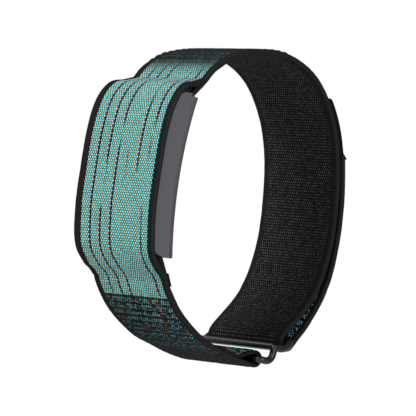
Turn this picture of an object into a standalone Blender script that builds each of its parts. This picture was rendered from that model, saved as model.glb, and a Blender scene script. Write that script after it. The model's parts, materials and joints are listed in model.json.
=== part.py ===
"""Fitness tracker band: a curved sensor pod under the cover of a woven strap, closed by a three-bar buckle.

Frame: metres, +Z up. The origin is the centre of the wrist opening and +X is the wrist's axis. -Y points out
through the cover over the pod, +Y to the back of the loop, and the pod stands upright on its chord.
Lengths in this file are millimetres, turned into metres where a mesh or curve is made.
"""
import math

import bmesh
import bpy
from mathutils import Vector

MM = 0.001
GAP = 0.3                       # running gap between neighbouring pieces

# Strap
STRAP_W = 24.0                  # across the wrist
STRAP_T = 1.1                   # one woven layer
COVER_W = 25.0                  # the cover is drawn round the pod's front edges
FOLD_TAB_T = 0.35
PATH_STEP = 1.6                 # spacing of a strap's cross lines

# Pod: its faces are arcs about one centre, behind the wrist
POD_W = 24.0
POD_LOW, POD_HIGH = -13.2, 21.0
SEAM_HIGH = 20.6                # the housing's rear edge, and below it the rear plate's top
PLATE_HIGH = 20.4
POD_MID = (POD_LOW + POD_HIGH) / 2
FRONT_Y, REAR_Y = -25.3, -19.7
BOW_RADIUS = 92.0               # of the rear face
BOW_CENTRE_Y = REAR_Y + BOW_RADIUS
WALL = 1.0
REAR_PLATE_T = 0.65
TOP_CORNER_R, LOW_CORNER_R = 3.6, 3.2
NOSE_Y = -20.05                 # where the top starts to slope back to the rear plate
EDGE_R = 0.35

# Lug notches and spring bars at the pod's two ends
NOTCH_W = 19.0
NOTCH_DEPTH = 4.6
TONGUE_W = NOTCH_W - 2 * GAP
TONGUE_T = 0.8
UPPER_PIN = (-21.4, 18.7)       # (y, z) of a bar's axis
LOWER_PIN = (-21.6, -10.9)
BARREL_R, BARREL_BORE_R, BARREL_LEN = 0.9, 0.62, 17.6
TIP_R = 0.4
TIP_IN, TIP_OUT = 6.0, 10.4     # a tip's ends, from the middle plane
EAR_HOLE_R, EAR_HOLE_END = 0.65, 11.0
LOOP_MID_R = BARREL_R + 0.25 + TONGUE_T / 2

# Buckle: three bars on two wavy side rails
BAR_SEWN = (8.8, -30.1)         # the strap's sewn loop turns on this bar
BAR_MIDDLE = (12.2, -27.0)
BAR_FREE = (16.9, -25.2)        # the strap's free end turns back over this bar
BAR_R, BAR_MIDDLE_R = 0.75, 0.8
RAIL_X = 13.1                   # centre line of a side rail
RAIL_R = 0.75
RAIL_BULGE = 0.9                # how far a rail bows out between two bars
KNUCKLE_R = 0.84
TURN_MID_R = BAR_R + GAP + STRAP_T / 2

# Directions beside the free bar: up along the strap, and out of the loop
UP_STRAP = Vector((0.5, 0.866))
OUT_STRAP = Vector((0.866, -0.5))

# Sensor side of the pod; places on it are (x, z)
WINDOW_SIZE = (11.0, 12.0)
WINDOW_FRONT, WINDOW_REAR = -20.55, -19.4
PAD_R = 1.1
PAD_FRONT = -20.6
PAD_PLACES = [(-3.2, -4.9), (3.2, -4.9)]          # charging pads
SKIN_SENSOR = (0.0, 12.2)
LED_PLACES = [(-1.5, POD_MID), (0.0, POD_MID), (1.5, POD_MID)]
LED_SIDE, DIODE_SIDE, WELL_SIDE = 0.9, 2.2, 2.8
SENSOR_T = 0.45
DIODE_PLACES = [(side * 3.4, POD_MID + up * 3.6) for side in (-1, 1) for up in (-1, 1)]
BARRIER_HALF_X, BARRIER_HALF_Z, BARRIER_REAR = 5.2, 5.6, -20.85
LED_WELL_HALF_X, LED_WELL_HALF_Z = 2.4, 0.8
GASKET_FRONT, GASKET_REAR, GASKET_BAND = -21.2, -20.65, 0.7

# Inside the pod
BOARD_HALF_X, BOARD_LOW, BOARD_HIGH = 10.2, -7.2, 15.0
BOARD_FRONT, BOARD_REAR = -22.2, -21.8
CHIPS = [("processor", (-6.5, 12.8), 4.0), ("radio_module", (6.5, 12.8), 3.4),
         ("power_chip", (-7.6, -1.4), 2.4)]
CHIP_REAR = -20.9
SCREWS = [(-8.7, 8.5), (8.7, 8.5)]
SCREW_HOLE_R, SHANK_R, HEAD_R, HEAD_T = 0.8, 0.45, 1.1, 0.4
CELL_LOW, CELL_HIGH, CELL_W, CELL_REAR = 1.6, 14.8, 17.0, -22.5
MOTOR_X, MOTOR_Z, MOTOR_R = 5.6, -2.6, 3.6
MOTOR_FRONT, MOTOR_REAR = -23.55, -22.45
CAN_WALL, AXLE_R = 0.25, 0.35
ANTENNA_LOW, ANTENNA_HIGH = (-10.6, -23.2, -7.2), (-10.2, -22.5, 1.0)
BEYOND_FRONT, BEYOND_REAR = -28.0, -16.0          # y limits of a tool that cuts right through the pod

PARTS = "fitness_tracker_band"
CUTTERS = "cutters"


# ---------------------------------------------------------------- scene helpers

def fresh_collection(name):
    collection = bpy.data.collections.new(name)
    bpy.context.scene.collection.children.link(collection)
    return collection


def start():
    for obj in list(bpy.data.objects):
        bpy.data.objects.remove(obj, do_unlink=True)
    return fresh_collection(PARTS), fresh_collection(CUTTERS)


def material(name, colour, roughness, metallic=0.0):
    mat = bpy.data.materials.new(name)
    mat.use_nodes = True
    shader = mat.node_tree.nodes["Principled BSDF"]
    shader.inputs["Base Color"].default_value = (*colour, 1.0)
    shader.inputs["Roughness"].default_value = roughness
    shader.inputs["Metallic"].default_value = metallic
    mat.diffuse_color = (*colour, 1.0)
    return mat


def move_to(obj, collection):
    for owner in list(obj.users_collection):
        owner.objects.unlink(obj)
    collection.objects.link(obj)
    return obj


def add_mesh(name, mesh, collection, mat=None):
    obj = bpy.data.objects.new(name, mesh)
    collection.objects.link(obj)
    if mat:
        mesh.materials.append(mat)
    return obj


def as_cutter(obj):
    obj.hide_render = True
    obj.display_type = "WIRE"
    return move_to(obj, cutters)


def boolean(obj, other, operation):
    modifier = obj.modifiers.new(other.name, "BOOLEAN")
    modifier.operation = operation
    modifier.solver = "EXACT"
    modifier.object = other


def cut(obj, *tools):
    for tool in tools:
        boolean(obj, as_cutter(tool), "DIFFERENCE")


def fuse(obj, *others):
    for other in others:
        boolean(obj, as_cutter(other), "UNION")


def bevel(obj, width, segments=2):
    modifier = obj.modifiers.new("edge", "BEVEL")
    modifier.width = width * MM
    modifier.segments = segments
    modifier.limit_method = "ANGLE"
    modifier.angle_limit = math.radians(50)


def curve_to_mesh(curve_obj, collection):
    """Swap a curve object for a closed mesh of the same shape, in the same place."""
    depsgraph = bpy.context.evaluated_depsgraph_get()
    mesh = bpy.data.meshes.new_from_object(curve_obj.evaluated_get(depsgraph))
    bm = bmesh.new()
    bm.from_mesh(mesh)
    bmesh.ops.remove_doubles(bm, verts=bm.verts, dist=0.002 * MM)
    bmesh.ops.recalc_face_normals(bm, faces=bm.faces)
    bm.to_mesh(mesh)
    bm.free()
    name, place = curve_obj.name, curve_obj.matrix_world.copy()
    bpy.data.objects.remove(curve_obj, do_unlink=True)
    obj = bpy.data.objects.new(name, mesh)
    obj.matrix_world = place
    collection.objects.link(obj)
    return obj


# ---------------------------------------------------------------- outlines, in the (y, z) plane

def smooth_path(points, step=PATH_STEP):
    """An even walk along the smooth curve (Catmull-Rom) through the points."""
    pts = [Vector(p) for p in points]
    pts = [2 * pts[0] - pts[1], *pts, 2 * pts[-1] - pts[-2]]
    fine = []
    for a, b, c, d in zip(pts, pts[1:], pts[2:], pts[3:]):
        for i in range(20):
            t = i / 20
            fine.append(0.5 * (2 * b + (c - a) * t + (2 * a - 5 * b + 4 * c - d) * t * t
                               + (3 * b - a - 3 * c + d) * t ** 3))
    fine.append(pts[-2])
    return even_walk(fine, step)


def even_walk(points, step):
    length = sum((b - a).length for a, b in zip(points, points[1:]))
    count = max(1, round(length / step))
    pace, walked, result = length / count, 0.0, [points[0]]
    for a, b in zip(points, points[1:]):
        span = (b - a).length
        while len(result) < count and walked + span >= pace * len(result):
            result.append(a.lerp(b, (pace * len(result) - walked) / span))
        walked += span
    return result + [points[-1]]


def arc(centre, radius, start_deg, end_deg, count):
    angles = [math.radians(start_deg + (end_deg - start_deg) * i / count) for i in range(count + 1)]
    return [Vector((centre[0] + radius * math.cos(a), centre[1] + radius * math.sin(a))) for a in angles]


def bow(middle_y, z):
    """The y, at height z, of the pod's arc that passes middle_y at the pod's mid height."""
    radius = BOW_CENTRE_Y - middle_y
    return BOW_CENTRE_Y - math.sqrt(radius ** 2 - (z - POD_MID) ** 2)


def bow_line(middle_y, low, high, count=10):
    heights = [low + (high - low) * i / count for i in range(count + 1)]
    return [Vector((bow(middle_y, z), z)) for z in heights]


def bowed_slab(front_y, rear_y, low, high, count=10):
    return bow_line(front_y, low, high, count) + bow_line(rear_y, low, high, count)[::-1]


def fillet(before, corner, after, radius, count=6):
    """The arc of the given radius that rounds a corner."""
    into, out = (before - corner).normalized(), (after - corner).normalized()
    half = into.angle(out) / 2
    middle = (into + out).normalized()
    centre = corner + middle * (radius / math.sin(half))
    first = corner + into * (radius / math.tan(half)) - centre
    last = corner + out * (radius / math.tan(half)) - centre
    turn = first.angle_signed(last)
    result = []
    for i in range(count + 1):
        a = -turn * i / count
        result.append(centre + Vector((first.x * math.cos(a) - first.y * math.sin(a),
                                       first.x * math.sin(a) + first.y * math.cos(a))))
    return result


# ---------------------------------------------------------------- solids

def ribbon(name, path, width, thickness, mat):
    """A strap: the path swept across the wrist, given its thickness evenly about the path."""
    bm = bmesh.new()
    rows = [[bm.verts.new((side * width / 2 * MM, p.x * MM, p.y * MM)) for side in (-1, 1)] for p in path]
    for a, b in zip(rows, rows[1:]):
        bm.faces.new((a[0], a[1], b[1], b[0]))
    mesh = bpy.data.meshes.new(name)
    bm.to_mesh(mesh)
    bm.free()
    obj = add_mesh(name, mesh, parts, mat)
    shell = obj.modifiers.new("thickness", "SOLIDIFY")
    shell.thickness = thickness * MM
    shell.offset = 0.0
    shell.use_even_offset = True
    return obj


def outline_solid(name, outline, width, mat, x=0.0):
    """A flat (y, z) outline made solid across the wrist."""
    curve = bpy.data.curves.new(name, "CURVE")
    curve.dimensions = "2D"
    curve.fill_mode = "BOTH"
    curve.extrude = width / 2 * MM
    spline = curve.splines.new("POLY")
    spline.points.add(len(outline) - 1)
    for point, p in zip(spline.points, outline):
        point.co = (p[0] * MM, p[1] * MM, 0, 1)
    spline.use_cyclic_u = True
    flat = bpy.data.objects.new(name, curve)
    flat.rotation_euler = (math.pi / 2, 0, math.pi / 2)
    flat.location.x = x * MM
    parts.objects.link(flat)
    bpy.context.view_layer.update()
    obj = curve_to_mesh(flat, parts)
    obj.data.materials.append(mat)
    return obj


def block(name, low, high, mat):
    """A box between two corners."""
    middle = [(a + b) / 2 * MM for a, b in zip(low, high)]
    bpy.ops.mesh.primitive_cube_add(size=1.0, location=middle)
    obj = bpy.context.object
    obj.name = name
    for v in obj.data.vertices:
        v.co = Vector(c * (b - a) * MM for c, a, b in zip(v.co, low, high))
    obj.data.materials.append(mat)
    return move_to(obj, parts)


def rod(name, axis, centre, radius, low, high, mat, sides=16):
    """A cylinder along X or Y, between low and high on that axis; centre holds its other two places."""
    along_x = axis == "X"
    middle = (low + high) / 2
    place = (middle, *centre) if along_x else (centre[0], middle, centre[1])
    turn = (0, math.pi / 2, 0) if along_x else (math.pi / 2, 0, 0)
    bpy.ops.mesh.primitive_cylinder_add(vertices=sides, radius=radius * MM, depth=(high - low) * MM,
                                        location=[c * MM for c in place], rotation=turn)
    obj = bpy.context.object
    obj.name = name
    obj.data.materials.append(mat)
    return move_to(obj, parts)


def wire(name, points, radius, mat, resolution=2):
    curve = bpy.data.curves.new(name, "CURVE")
    curve.dimensions = "3D"
    curve.bevel_depth = radius * MM
    curve.bevel_resolution = resolution
    curve.use_fill_caps = True
    spline = curve.splines.new("POLY")
    spline.points.add(len(points) - 1)
    for point, p in zip(spline.points, points):
        point.co = (*(c * MM for c in p), 1)
    obj = bpy.data.objects.new(name, curve)
    parts.objects.link(obj)
    bpy.context.view_layer.update()
    mesh_obj = curve_to_mesh(obj, parts)
    mesh_obj.data.materials.append(mat)
    return mesh_obj


# ---------------------------------------------------------------- strap

# Middle line of each woven layer, as (y, z)
UPPER_ARM = [(-18.7, 21.9), (-16.9, 24.1), (-14.3, 27.5), (-8.5, 31.3), (2.8, 33.75), (12.9, 30.8),
             (19.85, 23.1), (23.6, 13.0), (25.05, 0.0), (24.3, -8.5), (22.6, -14.1), (20.7, -17.6),
             (17.05, -22.2)]
LOWER_ARM = [(-20.5, -14.5), (-19.0, -17.0), (-17.3, -19.9), (-13.0, -24.3), (-6.3, -28.4),
             (-0.95, -30.1), (4.0, -31.3), (8.5, -31.67)]
FOLD_BACK = [(8.5, -28.53), (4.5, -29.2), (-1.0, -28.45)]
COVER = [(-19.5, 23.05), (-22.65, 22.1), (-25.1, 18.2), (-26.15, 11.5), (-26.2, 2.4), (-25.85, -5.0),
         (-24.5, -12.1), (-21.6, -15.5)]
TAIL = [(19.25, -24.45), (21.05, -21.3), (23.6, -16.0), (24.9, -12.4), (25.95, -7.8), (26.5, 0.0),
        (26.05, 7.7), (24.95, 13.1)]
TAB_LOW, TAB_HIGH = 14.2, 26.7  # heights between which the end tab lies on the strap
TAB_W = STRAP_W - 1.0
TAB_TIP, TAB_RISE = 1.3, 0.6    # height of its outer face over the strap's middle, at the tip and more below
LIP_OUT, LIP_DROP = 0.6, 0.35
FOLD_TAB = [(-18.25, -16.2), (-16.95, -18.65)]
LOOP_END_DEG = 150.0            # half of the arc that a pin loop's webbing covers


def pin_loop(name, pin, exit_deg, mat):
    """Webbing sewn round a spring bar, open on the side where it meets the arm."""
    path = arc(pin, LOOP_MID_R, exit_deg + 180 - LOOP_END_DEG, exit_deg + 180 + LOOP_END_DEG, 20)
    return ribbon(name, path, TONGUE_W, TONGUE_T, mat)


def lower_arm_path():
    sewn = arc(BAR_SEWN, TURN_MID_R, -80, 100, 12)
    return smooth_path(LOWER_ARM)[:-1] + sewn + smooth_path(FOLD_BACK)[1:]


def turn_path():
    """Down the inner side of the free bar, round it, and up its outer side."""
    bar = Vector(BAR_FREE)
    angle = math.degrees(math.atan2(OUT_STRAP.y, OUT_STRAP.x))
    inner_end = bar - OUT_STRAP * TURN_MID_R + UP_STRAP * 1.3
    outer_end = bar + OUT_STRAP * TURN_MID_R + UP_STRAP * 0.9
    return [inner_end] + arc(BAR_FREE, TURN_MID_R, angle - 180, angle, 12) + [outer_end]


def tab_outline():
    """A wedge that lies on the strap, thin at its free tip, with a lip over the tail's end."""
    line = [p for p in smooth_path(UPPER_ARM, 1.2) if p.x > 0 and TAB_LOW < p.y < TAB_HIGH]
    near, far = [], []
    for i, p in enumerate(line):
        along = (line[min(i + 1, len(line) - 1)] - line[max(i - 1, 0)]).normalized()
        out = Vector((-along.y, along.x))
        share = i / (len(line) - 1)
        near.append(p + out * (STRAP_T / 2 + GAP))
        far.append(p + out * (TAB_TIP + TAB_RISE * math.sin(min(1.0, 2 * share) * math.pi / 2)))
    lip = [far[-2] + Vector((0.1, 0.0)), far[-1] + Vector((LIP_OUT, -LIP_DROP)),
           far[-1] + Vector((-0.1, -LIP_DROP))]
    return near + lip[::-1] + far[-2::-1]


def make_strap(webbing, black_tape):
    ribbon("upper_arm", smooth_path(UPPER_ARM), STRAP_W, STRAP_T, webbing)
    ribbon("lower_arm", lower_arm_path(), STRAP_W, STRAP_T, webbing)
    ribbon("cover_panel", smooth_path(COVER), COVER_W, STRAP_T, webbing)
    pin_loop("upper_pin_loop", UPPER_PIN, 55, webbing)
    pin_loop("lower_pin_loop", LOWER_PIN, -72, webbing)
    ribbon("lower_fold_tab", smooth_path(FOLD_TAB, 1.0), STRAP_W, FOLD_TAB_T, black_tape)
    ribbon("strap_turn", turn_path(), STRAP_W, STRAP_T, webbing)
    ribbon("strap_tail", smooth_path(TAIL), STRAP_W, STRAP_T, webbing)
    outline_solid("tail_tab", tab_outline(), TAB_W, black_tape)


# ---------------------------------------------------------------- buckle

def rail_points(x):
    bars = [Vector(BAR_SEWN), Vector(BAR_MIDDLE), Vector(BAR_FREE)]
    line = [bars[0]]
    for a, b in zip(bars, bars[1:]):
        out = Vector(((b - a).y, -(b - a).x)).normalized()
        for i in range(1, 9):
            line.append(a.lerp(b, i / 8) + out * RAIL_BULGE * math.sin(math.pi * i / 8))
    return [(x, p.x, p.y) for p in line]


def make_buckle(metal):
    frame = rod("buckle_frame", "X", BAR_MIDDLE, BAR_MIDDLE_R, -RAIL_X, RAIL_X, metal)
    bars = [rod(f"bar_{i}", "X", bar, BAR_R, -RAIL_X, RAIL_X, metal)
            for i, bar in enumerate((BAR_SEWN, BAR_FREE))]
    rails = [wire(f"rail_{i}", rail_points(x), RAIL_R, metal) for i, x in enumerate((-RAIL_X, RAIL_X))]
    knuckles = []
    for i, bar in enumerate((BAR_SEWN, BAR_FREE)):
        for side in (-1, 1):
            bpy.ops.mesh.primitive_uv_sphere_add(segments=12, ring_count=8, radius=KNUCKLE_R * MM,
                                                 location=(side * RAIL_X * MM, bar[0] * MM, bar[1] * MM))
            ball = bpy.context.object
            ball.name = f"knuckle_{i}_{side}"
            knuckles.append(ball)
    fuse(frame, *bars, *rails, *knuckles)


# ---------------------------------------------------------------- pod shells

def housing_outline():
    seam_y = REAR_Y - REAR_PLATE_T - GAP
    low_front = Vector((bow(FRONT_Y, POD_LOW), POD_LOW))
    high_front = Vector((bow(FRONT_Y, POD_HIGH), POD_HIGH))
    front = bow_line(FRONT_Y, POD_LOW + LOW_CORNER_R + 0.5, POD_HIGH - TOP_CORNER_R - 0.5)
    rear_low = Vector((bow(seam_y, POD_LOW), POD_LOW))
    nose = Vector((NOSE_Y, POD_HIGH))
    low_corner = fillet(rear_low, low_front, front[0], LOW_CORNER_R)
    high_corner = fillet(front[-1], high_front, nose, TOP_CORNER_R)
    return low_corner + front + high_corner + [nose] + bow_line(seam_y, POD_LOW, SEAM_HIGH)[::-1]


def lug_notch(name, low, high, mat):
    reach = 4.0
    return block(name, (-NOTCH_W / 2, FRONT_Y - reach, low), (NOTCH_W / 2, REAR_Y + reach, high), mat)


def cavity(name, mat):
    low, high = POD_LOW + NOTCH_DEPTH + WALL, POD_HIGH - NOTCH_DEPTH - WALL
    return outline_solid(name, bowed_slab(FRONT_Y + WALL, REAR_Y + 1, low, high), POD_W - 2 * WALL, mat)


def make_housing(shell):
    housing = outline_solid("pod_housing", housing_outline(), POD_W, shell)
    bevel(housing, EDGE_R)
    low, high = POD_LOW + NOTCH_DEPTH, POD_HIGH - NOTCH_DEPTH
    cut(housing, cavity("housing_cavity", shell),
        lug_notch("upper_notch", high, POD_HIGH + 5, shell),
        lug_notch("lower_notch", POD_LOW - 5, low, shell))
    for name, pin in (("upper", UPPER_PIN), ("lower", LOWER_PIN)):
        cut(housing, rod(f"{name}_ear_holes", "X", pin, EAR_HOLE_R, -EAR_HOLE_END, EAR_HOLE_END, shell))


def make_rear_cover(plate):
    front = REAR_Y - REAR_PLATE_T
    cover = outline_solid("rear_cover", bowed_slab(front, REAR_Y, POD_LOW, PLATE_HIGH, 14), POD_W, plate)
    bevel(cover, 0.2)
    hole_x, hole_z = WINDOW_SIZE[0] / 2 + GAP, WINDOW_SIZE[1] / 2 + GAP
    cut(cover,
        block("window_hole", (-hole_x, BEYOND_FRONT, POD_MID - hole_z),
              (hole_x, BEYOND_REAR, POD_MID + hole_z), plate),
        lug_notch("rear_upper_notch", POD_HIGH - NOTCH_DEPTH, POD_HIGH + 5, plate),
        lug_notch("rear_lower_notch", POD_LOW - 5, POD_LOW + NOTCH_DEPTH, plate))
    for i, (x, z) in enumerate(PAD_PLACES + [SKIN_SENSOR]):
        cut(cover, rod(f"pad_hole_{i}", "Y", (x, z), PAD_R + GAP, BEYOND_FRONT, BEYOND_REAR, plate))


def make_gasket(rubber):
    low, high = POD_LOW + NOTCH_DEPTH + WALL + GAP, POD_HIGH - NOTCH_DEPTH - WALL - GAP
    width = POD_W - 2 * (WALL + GAP)
    ring = outline_solid("rear_gasket", bowed_slab(GASKET_FRONT, GASKET_REAR, low, high), width, rubber)
    inside = bowed_slab(BEYOND_FRONT, BEYOND_REAR, low + GASKET_BAND, high - GASKET_BAND)
    cut(ring, outline_solid("gasket_inside", inside, width - 2 * GASKET_BAND, rubber))


def make_window(glass):
    half_x, half_z = WINDOW_SIZE[0] / 2, WINDOW_SIZE[1] / 2
    window = block("sensor_window", (-half_x, WINDOW_FRONT, POD_MID - half_z),
                   (half_x, WINDOW_REAR, POD_MID + half_z), glass)
    bevel(window, 0.25)


# ---------------------------------------------------------------- electronics

def square_chip(name, place, side, low, high, mat):
    x, z = place
    return block(name, (x - side / 2, low, z - side / 2), (x + side / 2, high, z + side / 2), mat)


def make_sensor(black, lens):
    on_board = BOARD_REAR + GAP
    for i, place in enumerate(LED_PLACES):
        square_chip(f"led_{i + 1}", place, LED_SIDE, on_board, on_board + SENSOR_T, lens)
    for i, place in enumerate(DIODE_PLACES):
        square_chip(f"photodiode_{i + 1}", place, DIODE_SIDE, on_board, on_board + SENSOR_T, black)
    barrier = block("light_barrier", (-BARRIER_HALF_X, on_board, POD_MID - BARRIER_HALF_Z),
                    (BARRIER_HALF_X, BARRIER_REAR, POD_MID + BARRIER_HALF_Z), black)
    for i, place in enumerate(DIODE_PLACES):
        cut(barrier, square_chip(f"well_{i}", place, WELL_SIDE, BEYOND_FRONT, BEYOND_REAR, black))
    cut(barrier, block("led_well", (-LED_WELL_HALF_X, BEYOND_FRONT, POD_MID - LED_WELL_HALF_Z),
                       (LED_WELL_HALF_X, BEYOND_REAR, POD_MID + LED_WELL_HALF_Z), black))


def make_board(green, chip, steel):
    board = block("main_board", (-BOARD_HALF_X, BOARD_FRONT, BOARD_LOW),
                  (BOARD_HALF_X, BOARD_REAR, BOARD_HIGH), green)
    for name, place, side in CHIPS:
        square_chip(name, place, side, BOARD_REAR + GAP, CHIP_REAR, chip)
    head_low, head_high = BOARD_REAR + 0.2, BOARD_REAR + 0.2 + HEAD_T
    for i, place in enumerate(SCREWS):
        cut(board, rod(f"screw_hole_{i}", "Y", place, SCREW_HOLE_R, BEYOND_FRONT, BEYOND_REAR, green))
        screw = rod(f"board_screw_{i + 1}", "Y", place, SHANK_R, BOARD_FRONT - 0.1, head_low + 0.3, steel, 12)
        fuse(screw, rod(f"screw_head_{i}", "Y", place, HEAD_R, head_low, head_high, steel, 12))


def make_battery(foil):
    front = bow_line(FRONT_Y + WALL + GAP, CELL_LOW, CELL_HIGH)
    outline = front + [Vector((CELL_REAR, CELL_HIGH)), Vector((CELL_REAR, CELL_LOW))]
    bevel(outline_solid("battery_cell", outline, CELL_W, foil), 0.25)


def make_motor(steel, tungsten):
    """A coin motor: a cup, a base with its axle, and a half disc that spins off balance."""
    place = (MOTOR_X, MOTOR_Z)
    inner_r = MOTOR_R - CAN_WALL
    can = rod("motor_can", "Y", place, MOTOR_R, MOTOR_FRONT, MOTOR_REAR, steel, 32)
    cut(can, rod("can_inside", "Y", place, inner_r, MOTOR_FRONT + 0.2, BEYOND_REAR, steel, 32))
    base = rod("motor_base", "Y", place, inner_r - GAP, MOTOR_REAR - 0.2, MOTOR_REAR, steel, 32)
    fuse(base, rod("motor_axle", "Y", place, AXLE_R, MOTOR_FRONT + 0.35, MOTOR_REAR - 0.1, steel))
    rotor = rod("motor_rotor", "Y", place, inner_r - 0.5, MOTOR_FRONT + 0.4, MOTOR_REAR - 0.42, tungsten, 32)
    bore = rod("rotor_bore", "Y", place, AXLE_R + 0.25, BEYOND_FRONT, BEYOND_REAR, tungsten)
    half = block("rotor_half", (MOTOR_X - MOTOR_R, BEYOND_FRONT, MOTOR_Z - MOTOR_R),
                 (MOTOR_X + MOTOR_R, BEYOND_REAR, MOTOR_Z - 0.9), tungsten)
    cut(rotor, bore, half)


def make_contacts(gold, steel):
    for name, place, metal in (("charge_pad_left", PAD_PLACES[0], gold),
                               ("charge_pad_right", PAD_PLACES[1], gold),
                               ("skin_temp_sensor", SKIN_SENSOR, steel)):
        rod(name, "Y", place, PAD_R, PAD_FRONT, bow(REAR_Y, place[1]) + 0.1, metal, 24)
    block("antenna_strip", ANTENNA_LOW, ANTENNA_HIGH, gold)


# ---------------------------------------------------------------- spring bars

def spring_points(pin, half, turns=7, radius=0.4, per_turn=8):
    count = turns * per_turn
    result = []
    for i in range(count + 1):
        a = 2 * math.pi * i / per_turn
        x = -half + 2 * half * i / count
        result.append((x, pin[0] + radius * math.cos(a), pin[1] + radius * math.sin(a)))
    return result


def make_spring_bar(name, pin, steel):
    barrel = rod(f"{name}_bar_barrel", "X", pin, BARREL_R, -BARREL_LEN / 2, BARREL_LEN / 2, steel)
    cut(barrel, rod(f"{name}_bar_bore", "X", pin, BARREL_BORE_R, -BARREL_LEN, BARREL_LEN, steel))
    wire(f"{name}_bar_spring", spring_points(pin, TIP_IN - GAP), 0.08, steel, 1)
    rod(f"{name}_bar_tip_left", "X", pin, TIP_R, -TIP_OUT, -TIP_IN, steel)
    rod(f"{name}_bar_tip_right", "X", pin, TIP_R, TIP_IN, TIP_OUT, steel)


parts, cutters = start()
webbing = material("webbing", (0.05, 0.30, 0.31), 0.85)
black_tape = material("black_tape", (0.01, 0.01, 0.01), 0.5)
gunmetal = material("gunmetal", (0.05, 0.05, 0.055), 0.3, 1.0)
pod_grey = material("pod_grey", (0.105, 0.110, 0.120), 0.55)
plate_grey = material("plate_grey", (0.070, 0.073, 0.085), 0.5)
black_plastic = material("black_plastic", (0.015, 0.015, 0.015), 0.45)
gasket_rubber = material("gasket_rubber", (0.02, 0.02, 0.02), 0.9)
dark_glass = material("dark_glass", (0.01, 0.01, 0.012), 0.08)
led_lens = material("led_lens", (0.45, 0.75, 0.45), 0.2)
board_green = material("board_green", (0.01, 0.12, 0.05), 0.5)
battery_foil = material("battery_foil", (0.55, 0.56, 0.58), 0.35, 1.0)
steel = material("steel", (0.55, 0.55, 0.56), 0.3, 1.0)
tungsten = material("tungsten", (0.30, 0.30, 0.31), 0.4, 1.0)
gold = material("gold", (0.80, 0.60, 0.25), 0.3, 1.0)

make_strap(webbing, black_tape)
make_buckle(gunmetal)
make_housing(pod_grey)
make_rear_cover(plate_grey)
make_gasket(gasket_rubber)
make_window(dark_glass)
make_sensor(black_plastic, led_lens)
make_board(board_green, black_plastic, steel)
make_battery(battery_foil)
make_motor(steel, tungsten)
make_contacts(gold, steel)
make_spring_bar("upper", UPPER_PIN, steel)
make_spring_bar("lower", LOWER_PIN, steel)
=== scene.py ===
"""Looks for the fitness tracker band: a woven strap, its sensor pod, a three-bar buckle and a closing tab.

Routes are (y, z) points in millimetres in the part's frame, turned into metres where a mesh is made.
The strap carries its own measure of length, s, in millimetres from the crease above the pod: positive down
over the pod's cover, negative over the top of the wrist. Its weave is drawn from s and from u, the place
across the strap.
"""
import json
import math

import bmesh
import bpy
import numpy as np
from mathutils import Matrix, Vector, noise


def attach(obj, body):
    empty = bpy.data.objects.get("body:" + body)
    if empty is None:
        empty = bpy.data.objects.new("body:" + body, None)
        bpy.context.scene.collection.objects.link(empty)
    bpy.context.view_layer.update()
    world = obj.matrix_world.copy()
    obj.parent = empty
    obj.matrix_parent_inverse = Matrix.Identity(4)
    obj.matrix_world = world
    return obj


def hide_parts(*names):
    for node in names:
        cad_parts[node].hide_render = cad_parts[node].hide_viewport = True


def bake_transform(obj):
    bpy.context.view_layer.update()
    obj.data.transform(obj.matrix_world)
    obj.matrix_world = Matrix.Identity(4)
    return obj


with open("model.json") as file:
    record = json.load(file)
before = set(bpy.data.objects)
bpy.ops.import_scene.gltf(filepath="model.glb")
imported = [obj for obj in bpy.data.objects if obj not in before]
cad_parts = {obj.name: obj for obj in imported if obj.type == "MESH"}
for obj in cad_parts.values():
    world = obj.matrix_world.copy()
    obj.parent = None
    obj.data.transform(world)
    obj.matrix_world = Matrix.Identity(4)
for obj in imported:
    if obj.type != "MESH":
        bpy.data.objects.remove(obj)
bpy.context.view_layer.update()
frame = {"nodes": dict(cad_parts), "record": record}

MM = 0.001
FINE_STEP = 0.3                 # spacing of a strap's cross lines

# Middle lines of the woven layers
UPPER_ARM = [(-20.1, 20.3), (-18.7, 21.9), (-16.9, 24.1), (-14.3, 27.5), (-8.5, 31.3), (2.8, 33.75),
             (12.9, 30.8), (19.85, 23.1), (23.6, 13.0), (25.05, 0.0), (24.3, -8.5), (22.6, -14.1),
             (20.7, -17.6), (17.05, -22.2)]
COVER = [(-17.2, 24.0), (-19.5, 23.15), (-22.65, 22.0), (-25.1, 18.1), (-26.15, 11.5), (-26.2, 2.4),
         (-25.85, -5.0), (-24.5, -12.1), (-21.9, -15.4), (-20.0, -16.6), (-18.9, -17.6)]
LOWER_ARM = [(-21.3, -13.2), (-20.5, -14.5), (-19.0, -17.0), (-17.3, -19.9), (-13.0, -24.3), (-6.3, -28.25),
             (-0.95, -29.75), (4.0, -30.9), (8.55, -31.48)]
FOLD_BACK = [(8.55, -28.72), (6.8, -29.2), (4.3, -30.2), (1.6, -29.75), (-1.2, -29.05)]
TAIL = [(19.25, -24.45), (21.45, -21.4), (24.15, -16.2), (25.4, -12.6), (26.4, -7.9), (26.75, 0.0),
        (26.1, 7.7), (24.8, 14.3), (24.35, 16.2)]
CREASE_ON_ARM, KINK_ON_COVER, KINK_ON_LOWER = UPPER_ARM[2], COVER[-2], LOWER_ARM[2]
UP_STRAP, OUT_STRAP = Vector((0.5, 0.866)), Vector((0.866, -0.5))      # along and out, at the free bar

# Strap
STRAP_W, STRAP_T = 24.0, 1.1
HALF_W = STRAP_W / 2
BORDER = 1.6                    # width of the plain edge of the weave
RIM = 0.09                      # how far the edge stands over the field
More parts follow.
